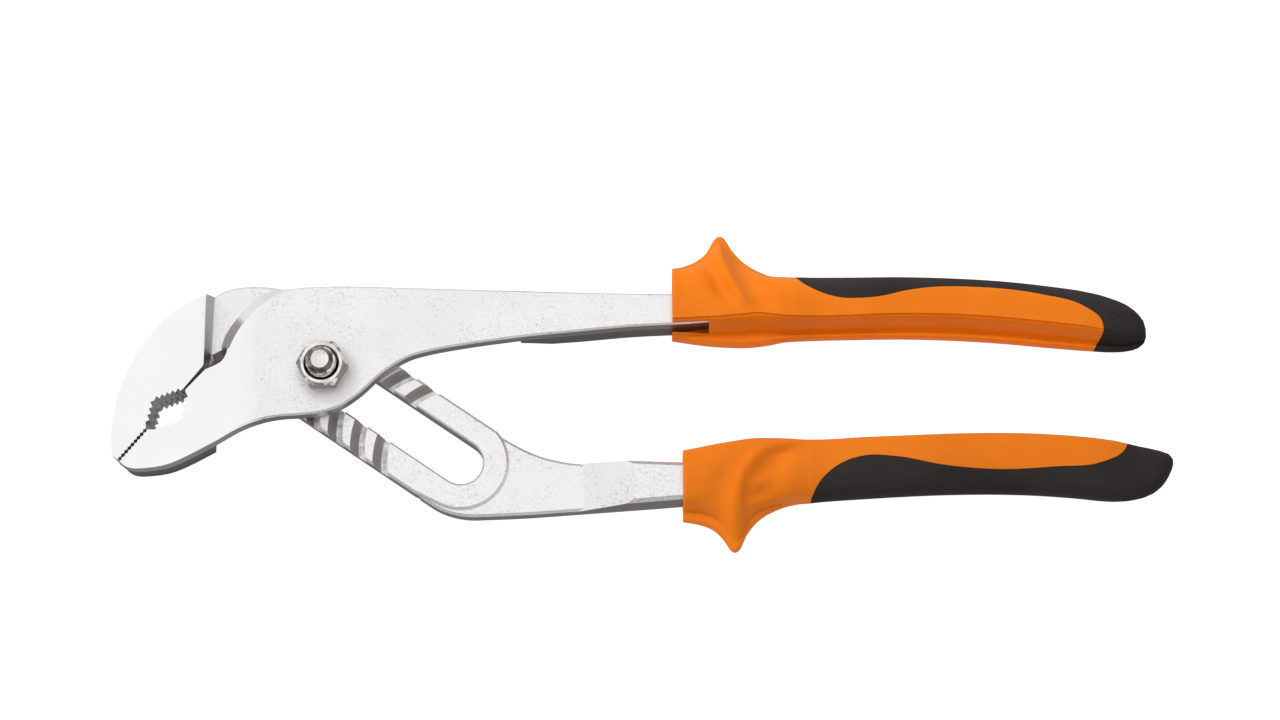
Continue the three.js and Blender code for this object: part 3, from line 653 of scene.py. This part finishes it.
END_ZONE = 16  # where the end's rounding comes in
END_ROUNDING = 8.0
THINNEST = 0.03
SECTION_POINTS = 64
BEHIND, IN_FRONT = -8, 26  # heights well past the grips, for the cutters
MARK_PLACE = (184.6, 12.7)  # a round mould mark near the upper grip's end
MARK_RINGS = ((1.2, 1.45), (0.0, 0.5))
COLLAR_WINDOW = [[78, 8.8], [90, 8.8], [90, 11.0], [78, 10.4]]  # the tang shows through it


def distance_to(line, x, y):
    """Distance from each point to a run of straight stretches."""
    a, b = line[:-1], line[1:]
    run = b - a
    rel_x, rel_y = x[..., None] - a[:, 0], y[..., None] - a[:, 1]
    t = np.clip((rel_x * run[:, 0] + rel_y * run[:, 1]) / (run ** 2).sum(1), 0, 1)
    return np.hypot(rel_x - t * run[:, 0], rel_y - t * run[:, 1]).min(-1)


def depth_inside(outline, x, y):
    """Distance to a closed outline, positive inside it and negative outside."""
    corners = np.array(outline + outline[:1], float)
    inside = np.zeros(np.shape(x), bool)
    for (ax, ay), (bx, by) in zip(corners[:-1], corners[1:]):
        if ay == by:
            continue
        inside ^= ((ay > y) != (by > y)) & (x < ax + (bx - ax) * (y - ay) / (by - ay))
    away = distance_to(corners, x, y)
    return np.where(inside, away, -away)


def smooth_max(first, second, soft):
    return 0.5 * (first + second + np.sqrt((first - second) ** 2 + soft))


def rounded_share(share, power):
    """From 1 down to 0 like the side of a rounded square."""
    return (1 - share ** power) ** (1 / power)


def window(value, low, high, soft):
    """1 between low and high, 0 outside them."""
    rise = np.clip((value - low) / soft, 0, 1)
    fall = np.clip((high - value) / soft, 0, 1)
    return (rise * rise * (3 - 2 * rise)) * (fall * fall * (3 - 2 * fall))


def rib_relief(grip, x, y):
    """A twisted rib from the guard's tip across the front face, with a valley on each side."""
    across = x - curve(grip["rib"])(y)
    reach = y * grip["side"]
    relief = 0.75 * window(x, grip["outer"][0][0] + 0.5, COLLAR_END, 9)
    for height, offset, width, low, high, soft in grip["relief"]:
        wave = np.exp(-(((across - offset) / width) ** 2))
        relief = relief + height * wave * window(reach, low, high, soft)
    return relief


def body_heights(grip, x, y):
    """Half thickness of the grip's body, and how far up towards its shoulder each point is."""
    side = grip["side"]
    outer, inner, ridge = (curve(grip[line])(x) for line in ("outer", "inner", "ridge"))
    shoulder = np.where(x < grip["shoulder"][-1][0], curve(grip["shoulder"])(x), outer)
    shoulder = side * np.minimum(side * shoulder, side * outer)
    end = grip["outer"][-1][0]
    taper = np.clip((x - (end - TAPER_LENGTH)) / TAPER_LENGTH, 0, 1)
    half = GRIP_HALF * (1 - 0.22 * taper ** 2)

    least = 0.3  # keeps the shares finite where the grip ends in a point
    up = np.clip(side * (y - ridge) / np.maximum(side * (shoulder - ridge), least), 0, 1)
    down = np.clip(side * (ridge - y) / np.maximum(side * (ridge - inner), least), 0, 1)
    outer_side = half * rounded_share(up, curve(grip["squareness"])(x))
    inner_side = half * (UPPER_INNER_SIDE if side > 0 else LOWER_INNER_SIDE)(down)
    body = np.where(side * (y - ridge) >= 0, outer_side, inner_side)
    return body + rib_relief(grip, x, y) * np.clip(body / half * 2 - 0.3, 0, 1), half, up


def grip_heights(grip, x, y):
    """Half thickness of the grip over each point of its silhouette."""
    body, half, up = body_heights(grip, x, y)

    to_edge = distance_to(np.array(flowing(grip["outer"], 6)), x, y)
    near_edge = np.clip(to_edge / GUARD_EDGE, 0, 1)
    rounding = np.sqrt(np.clip(1 - (1 - near_edge) ** 2, 0, 1))
    reach = np.clip(1 - np.abs(x - grip["guard_at"]) / GUARD_REACH, 0, 1)
    guard = GUARD_HALF * rounding * np.clip(reach * 4, 0, 1)
    blended = smooth_max(body, guard, 0.25) - 0.15
    joined = blended * near_edge + np.maximum(body, guard) * (1 - near_edge)
    height = np.where(guard > 1e-6, joined, body)

    over_tang = FRONT - HANDLE_MID + 0.75
    cover = over_tang - 0.42 * np.maximum(0, 1.0 - depth_inside(grip["tang"], x, y)) ** 2
    height = np.where(cover > 0, np.maximum(height, smooth_max(height, cover, 0.06)), height)

    zone = grip["outer"][-1][0] - END_ZONE
    outline = [p for p in grip["outer"] if p[0] > zone]
    outline += [p for p in grip["inner"] if p[0] > zone][::-1]
    share = np.clip(distance_to(np.array(outline), x, y) / END_ROUNDING, 0, 1)
    cap = half * rounded_share(1 - share, 2.1)
    capped = (np.maximum(height, 1e-4) ** -5 + np.maximum(cap, 1e-4) ** -5) ** (-1 / 5)
    height = height + (capped - height) * np.clip((x - zone) / END_ROUNDING, 0, 1)
    return np.where((up >= 1) & (guard < 1e-6), 0, np.maximum(height, 0))


def grip_stations(grip):
    """Places along the grip, closer together at the guard and at the round end."""
    start, end = grip["outer"][0][0], grip["outer"][-1][0]
    guard = grip["guard_at"]
    finish = end - 12
    pieces = [
        np.array([start, start + 0.15, start + 0.4]),
        np.arange(start + 1, guard - 4, 0.7),
        np.arange(guard - 4, guard + 6, 0.25),
        np.arange(guard + 6, guard + 22, 0.6),
        np.arange(guard + 22, finish, 1.1),
        finish + (end - finish) * np.sin(np.linspace(0, math.pi / 2, 34)),
    ]
    return np.concatenate(pieces)


def ring_cutter(grip, x, y, inner, outer):
    """A thin ring that cuts a shallow mould mark, level with the curved surface round (x, y)."""
    angles = np.linspace(0, 2 * math.pi, 40, endpoint=False)
    inner = max(inner, 0.02)  # a hole, however small, keeps the band closed
    depth, clear = 0.12, 2
    rings = []
    for radius, lift in ((inner, -depth), (outer, -depth), (outer, clear), (inner, clear)):
        px, py = x + radius * np.cos(angles), y + radius * np.sin(angles)
        pz = HANDLE_MID + grip_heights(grip, px[None, :], py[None, :])[0] + lift
        rings.append(np.column_stack([px, py, pz]))
    return ring_band("mark", rings, ORANGE)


def grip_moulding(grip):
    """The whole grip as one closed skin, lofted along its length."""
    x = grip_stations(grip)[:, None]
    outer, ridge, inner = (curve(grip[line])(x) for line in ("outer", "ridge", "inner"))
    share = (1 - np.cos(np.linspace(0, math.pi, SECTION_POINTS // 2 + 1))) / 2
    y = np.hstack([outer + (ridge - outer) * share[:-1], ridge + (inner - ridge) * share])
    across = np.broadcast_to(x, y.shape)
    height = grip_heights(grip, across, y)
    mouth = np.array([0.5, 0.15, 0.0])  # the collar's edge is rounded over by this much
    height[:3] -= mouth[:, None]
    height[-1, :] = 0
    height = np.maximum(height, THINNEST)
    height[:, 0] = height[:, -1] = 0
    limit = HANDLE_MID - 0.1  # the rear stays above the plane that the tool lies on
    rested = np.maximum(-smooth_max(-height, -limit, 0.3), THINNEST)
    columns = y.shape[1]
    rings = []
    for i in range(len(x)):
        front = [(across[i, k], y[i, k], HANDLE_MID + height[i, k]) for k in range(columns)]
        rear = [(across[i, k], y[i, k], HANDLE_MID - rested[i, k]) for k in range(columns - 2, 0, -1)]
        rings.append(front + rear)
    return spun(grip["prefix"] + "_sleeve_moulding", rings, ORANGE, 50)


def make_grip(grip):
    """A grip hollowed for its tang and parted into the orange sleeve and the black inlay."""
    prefix, side = grip["prefix"], grip["side"]
    sleeve = grip_moulding(grip)
    room = 0.15
    cutters = [prism("pocket", grip["tang"], REAR - room, FRONT + room)]
    if side > 0:
        cutters.append(prism("window", COLLAR_WINDOW, HANDLE_MID - 2, IN_FRONT))
        cutters += [ring_cutter(grip, *MARK_PLACE, inner, outer) for inner, outer in MARK_RINGS]
    for cutter in cutters:
        cut(sleeve, cutter)

    seam = flowing(grip["seam"])
    gap = 0.05
    shifted = [(px + gap, py + gap * side) for px, py in seam]
    beyond = [tuple(p) for p in grip["beyond_seam"]]
    region = prism("region", seam + beyond, BEHIND, IN_FRONT)
    inner_region = prism("inner_region", shifted + beyond, BEHIND, IN_FRONT)
    inlay = sleeve.copy()
    inlay.data = sleeve.data.copy()
    inlay.name = prefix + "_inlay_moulding"
    bpy.context.scene.collection.objects.link(inlay)
    cut(sleeve, region)
    cut(inlay, inner_region, "INTERSECT")
    discard(*cutters, region, inner_region)
    for piece, material, slot, node in (
        (sleeve, ORANGE, "orange_sleeve", prefix + "_grip_sleeve"),
        (inlay, BLACK, "black_inlay", prefix + "_grip_inlay"),
    ):
        piece.data.materials.clear()
        piece.data.materials.append(material)
        shade(piece.data, 42)
        finish_piece(piece, grip["body"], node)


# ---------------------------------------------------------------- steel arms
def dress_arm(node, material, edge_width):
    """The CAD node stays: its facets are joined, its edges slightly rounded and its shading smoothed."""
    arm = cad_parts[node]
    arm.data.materials.clear()
    arm.data.materials.append(material)
    weld = arm.modifiers.new("weld", "WELD")
    weld.merge_threshold = 1e-6
    flats = arm.modifiers.new("flats", "DECIMATE")
    flats.decimate_type = "DISSOLVE"
    flats.angle_limit = math.radians(0.6)
    edges = arm.modifiers.new("edges", "BEVEL")
    edges.width = edge_width * MM
    edges.segments = 2
    edges.limit_method = "ANGLE"
    edges.angle_limit = math.radians(28)
    edges.use_clamp_overlap = True
    edges.harden_normals = False
    normals = arm.modifiers.new("normals", "WEIGHTED_NORMAL")
    normals.weight = 80
    normals.keep_sharp = True


make_studio()
STEEL = steel_material("forged_steel_arm", -19.5, 6, True)
STEEL_BAR = steel_material("forged_steel_bar", -28.6, 0.9, False)
PLATED = plated_material()
ORANGE = moulded_material(
    "orange_sleeve", (0.84, 0.2, 0.0055, 1), (0.765, 0.174, 0.004, 1), 0.42, 0.00006)
BLACK = moulded_material(
    "black_inlay", (0.026, 0.021, 0.019, 1), (0.018, 0.015, 0.014, 1), 0.55, 0.00008)
dress_arm("tongue_arm", STEEL, 0.12)
dress_arm("grooved_arm", STEEL_BAR, 0.15)
make_bolt()
make_nut()
make_grip(UPPER)
make_grip(LOWER)
